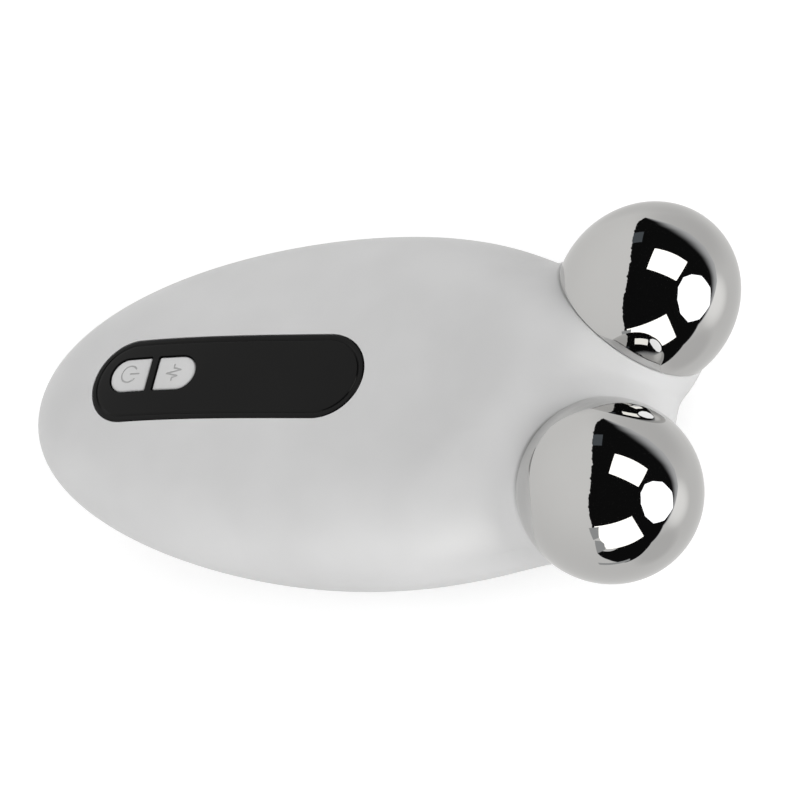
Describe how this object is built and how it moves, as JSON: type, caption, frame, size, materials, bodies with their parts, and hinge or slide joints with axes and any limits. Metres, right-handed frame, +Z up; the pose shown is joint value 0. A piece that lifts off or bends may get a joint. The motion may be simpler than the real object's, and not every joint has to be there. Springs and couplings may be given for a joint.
{
  "type": "facial toning device",
  "caption": "Handheld facial toning device: a smooth pebble body that forks into two necks with chromed egg-shaped electrodes, and a long glossy panel with two flush push buttons on its back.",
  "frame": {"origin": "centre of the rubber rest pad's underside, which is the plane that the device lies on", "axes": "+X from the tail towards the electrodes, +Y to the left electrode, +Z up, out of the control panel"},
  "size_m": [0.1219, 0.0622, 0.0322],
  "materials": {
    "white_shell": "satin",
    "black_panel": "gloss",
    "adhesive_film": "matte",
    "grey_buttons": "satin",
    "switch_black": "matte",
    "white_plastic": "satin",
    "ivory_plastic": "satin",
    "clear_guide": "clear",
    "lamp_yellow": "gloss",
    "board_green": "satin",
    "chip_black": "matte",
    "coil_ferrite": "matte",
    "capacitor_can": "satin",
    "plated_steel": "satin",
    "battery_foil": "satin",
    "foam": "matte",
    "lead_red": "satin",
    "electrode_chrome": "mirror",
    "seal_rubber": "matte",
    "terminal_brass": "satin",
    "rest_rubber": "matte"
  },
  "bodies": {
    "case": {"upper_shell": "white_shell", "lower_shell": "white_shell", "control_panel": "black_panel", "panel_adhesive": "adhesive_film", "power_switch": "switch_black", "mode_switch": "switch_black", "usb_tongue": "switch_black", "buzzer": "switch_black", "electrode_carriers": "white_plastic", "battery_plug": "white_plastic", "battery_header": "ivory_plastic", "light_guide": "clear_guide", "indicator_leds": "lamp_yellow", "circuit_board": "board_green", "microcontroller": "chip_black", "step_up_coil": "coil_ferrite", "output_capacitors": "capacitor_can", "usb_socket": "plated_steel", "board_screws": "plated_steel", "case_screws": "plated_steel", "electrode_screws": "plated_steel", "battery_cell": "battery_foil", "battery_pad": "foam", "battery_leads": "lead_red", "left_electrode_lead": "lead_red", "right_electrode_lead": "lead_red", "left_electrode": "electrode_chrome", "right_electrode": "electrode_chrome", "electrode_seals": "seal_rubber", "electrode_terminals": "terminal_brass", "rest_pad": "rest_rubber"},
    "power_key": {"power_button": "grey_buttons", "power_switch_plunger": "white_plastic"},
    "mode_key": {"mode_button": "grey_buttons", "mode_switch_plunger": "white_plastic"}
  },
  "joints": [
    {"name": "power_button_press", "type": "slide", "parent": "case", "child": "power_key", "axis": [0, 0, -1], "range_m": [0, 0.0004], "stiffness_N_per_m": 2500},
    {"name": "mode_button_press", "type": "slide", "parent": "case", "child": "mode_key", "axis": [0, 0, -1], "range_m": [0, 0.0004], "stiffness_N_per_m": 2500}
  ]
}
